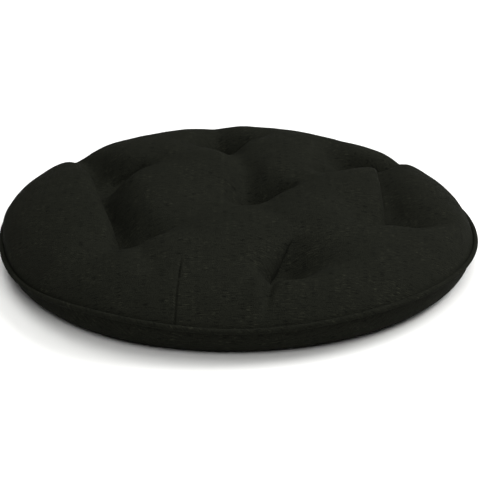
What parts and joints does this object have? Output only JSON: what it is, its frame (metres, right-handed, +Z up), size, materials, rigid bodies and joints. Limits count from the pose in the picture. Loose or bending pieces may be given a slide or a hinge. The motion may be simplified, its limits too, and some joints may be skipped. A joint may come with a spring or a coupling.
{
  "type": "hanging chair cushion",
  "caption": "Round tufted seat cushion of black woven cloth with piping in its rim seam, for a hanging chair.",
  "frame": {"origin": "middle of the face that the cushion lies on", "axes": "+Z up through the thickness; +X to the right and +Y away from the person who looks at the front of the cushion, where the stitched dart is"},
  "size_m": [0.696, 0.6946, 0.0981],
  "materials": {
    "cover_cloth": "matt plain weave with uneven yarns, dyed black",
    "piping_cloth": "bias strip of the same black plain weave, drawn tight over a cord"
  },
  "bodies": {
    "root": {"cushion": "cover_cloth", "piping": "piping_cloth"}
  },
  "joints": []
}
